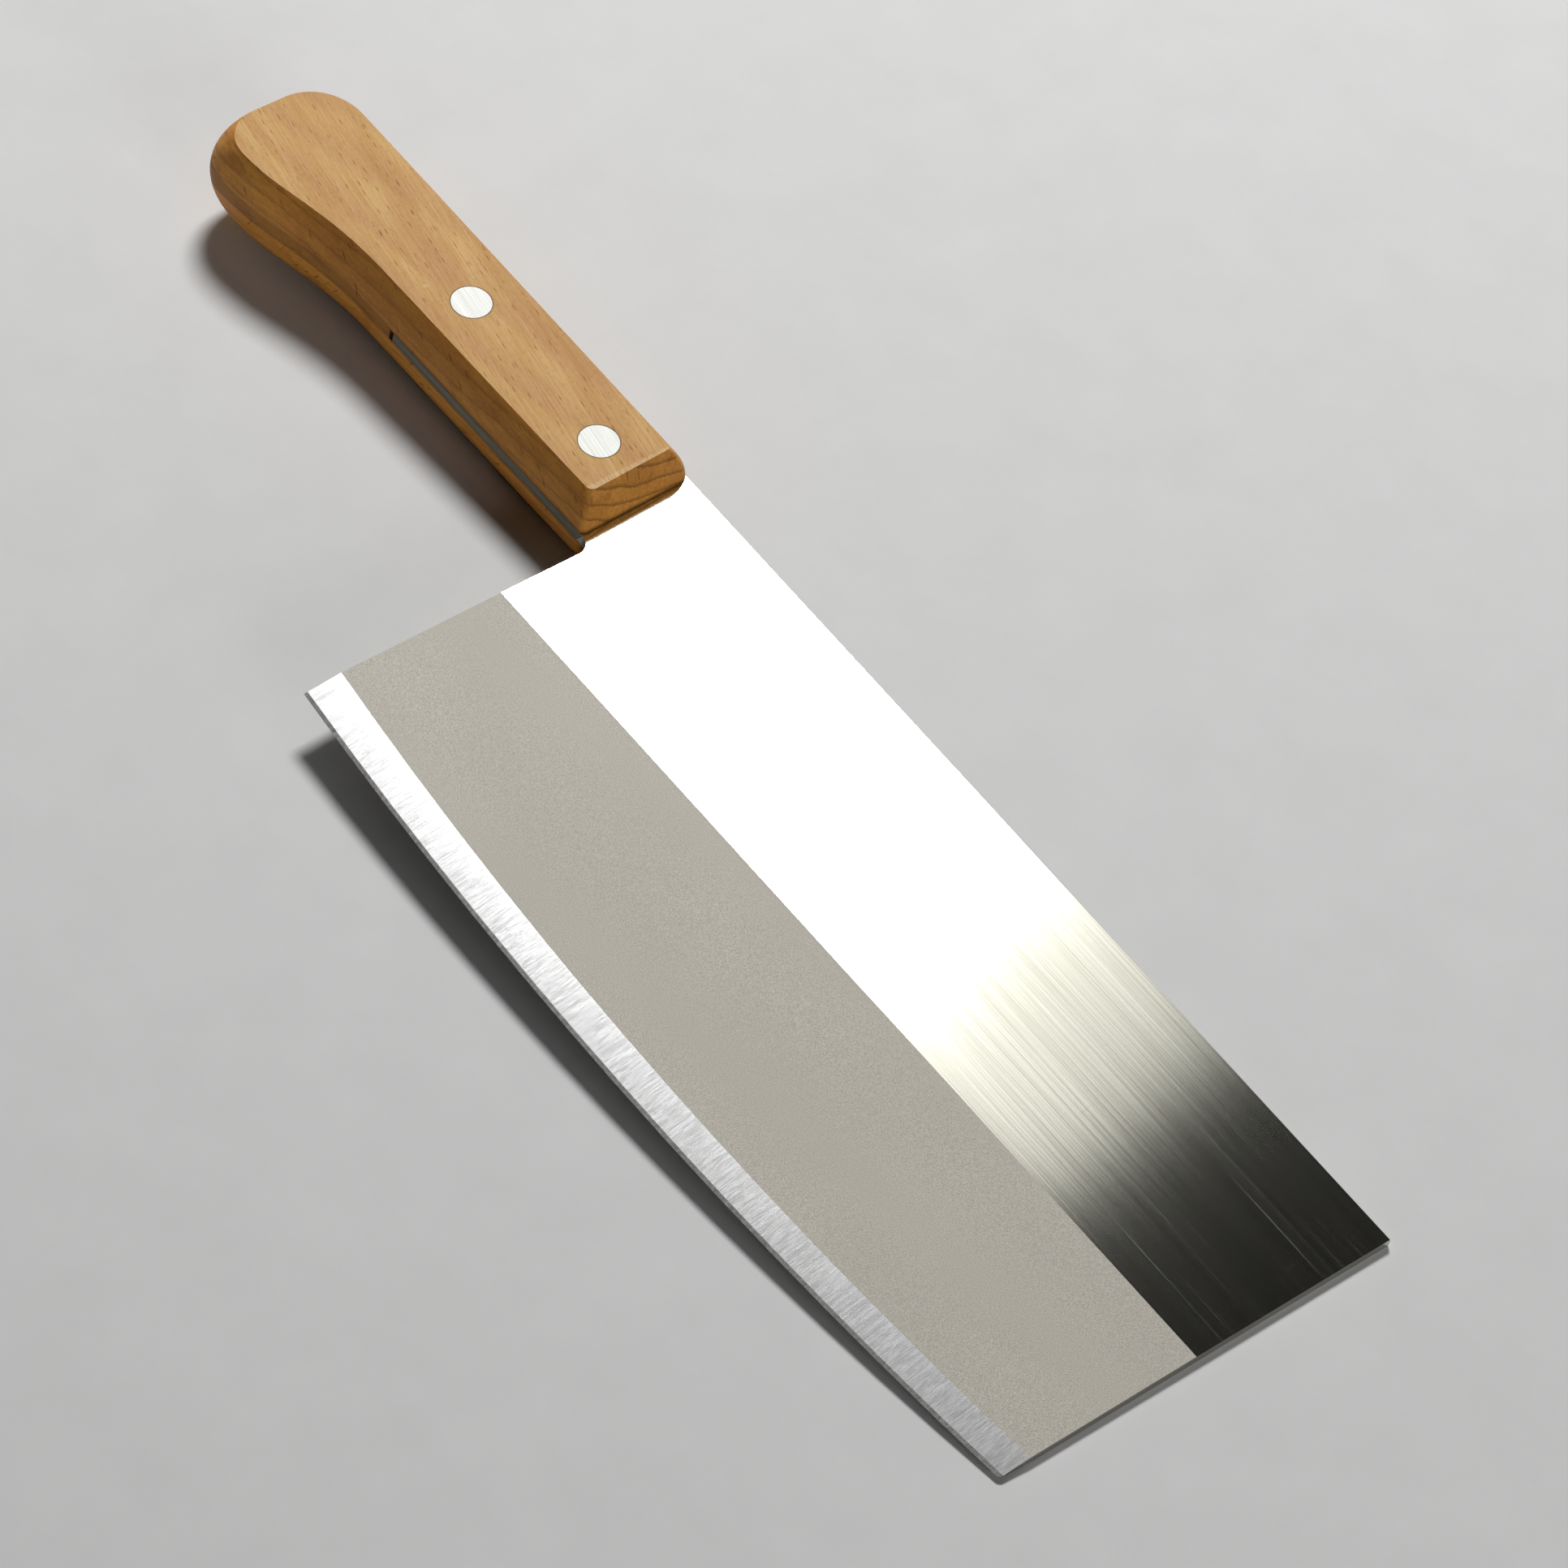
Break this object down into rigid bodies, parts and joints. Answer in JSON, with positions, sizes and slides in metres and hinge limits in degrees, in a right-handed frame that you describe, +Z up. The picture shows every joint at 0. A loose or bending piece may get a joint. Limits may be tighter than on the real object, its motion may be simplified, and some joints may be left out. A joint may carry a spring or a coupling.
{
  "type": "cleaver",
  "caption": "Thin rectangular kitchen cleaver: tall flat blade with a gently curved polished edge, half-length tang held in a slotted wooden handle by flush rivets.",
  "frame": {"origin": "under the middle of the part's box, on the surface the knife lies on", "axes": "+X along the knife from the butt towards the tip, +Y from the cutting edge towards the back, +Z up, away from the surface it lies on. The knife is stored lying on its side, tilted about Y by 2.36 degrees, because it rests on the front under edge of its handle and on the tip of its blade."},
  "size_m": [0.32, 0.0962, 0.0236],
  "materials": {
    "blade_steel": "brushed lengthwise near the back, bead-blasted lower half, polished bevel",
    "beech": "oiled, lightly worn",
    "rivet_metal": "satin, ground flush with the wood"
  },
  "bodies": {
    "root": {"blade": "blade_steel", "handle": "beech", "front_rivet_female": "rivet_metal", "front_rivet_male": "rivet_metal", "rear_rivet_female": "rivet_metal", "rear_rivet_male": "rivet_metal"}
  },
  "joints": []
}
